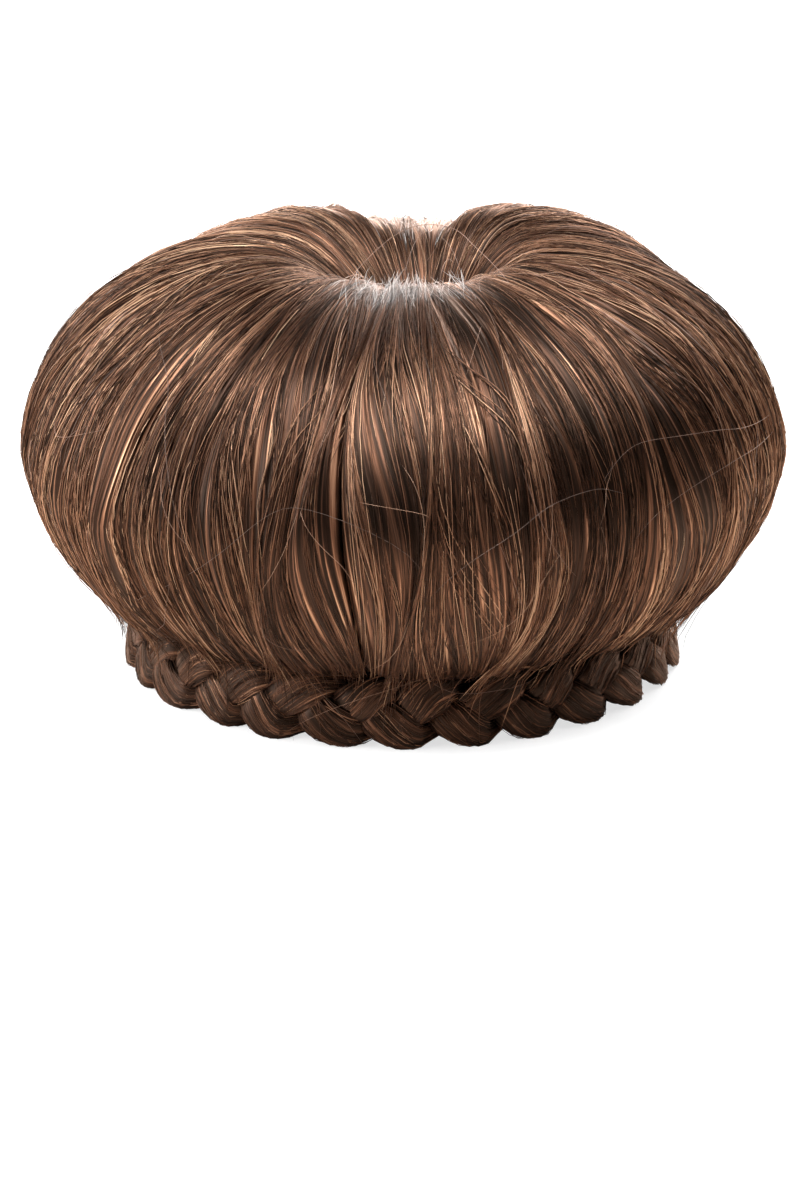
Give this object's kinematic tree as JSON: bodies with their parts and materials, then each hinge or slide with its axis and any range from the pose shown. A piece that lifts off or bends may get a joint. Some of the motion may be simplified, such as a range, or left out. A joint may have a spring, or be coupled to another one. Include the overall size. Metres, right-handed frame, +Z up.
{
  "type": "top knot hairpiece",
  "caption": "Ready-made bun of long straight brown hair, laid in sections over a net cap, dimpled on top, with a plaited ring round its foot and a comb inside the hem.",
  "frame": {"origin": "centre of the foot, on the surface that the hem and the plait stand on", "axes": "+Z up through the dimple, -Y towards the front as pictured, +X to the viewer's right"},
  "size_m": [0.1403, 0.1401, 0.0788],
  "materials": {
    "hair": "straight fibre hair, dark brown with copper and caramel strands, silky band of shine",
    "braid_hair": "the same hair plaited, darker, with copper strands",
    "net": "dark brown stiffened net with a plain hem, matt",
    "comb": "plain dark brown moulded plastic"
  },
  "bodies": {
    "root": {"hair_front": "hair", "hair_front_right": "hair", "hair_right": "hair", "hair_back_right": "hair", "hair_back": "hair", "hair_back_left": "hair", "hair_left": "hair", "hair_left_front": "hair", "hair_front_left": "hair", "braid_strand_a": "braid_hair", "braid_strand_b": "braid_hair", "braid_strand_c": "braid_hair", "foundation_cap": "net", "comb": "comb"}
  },
  "joints": []
}
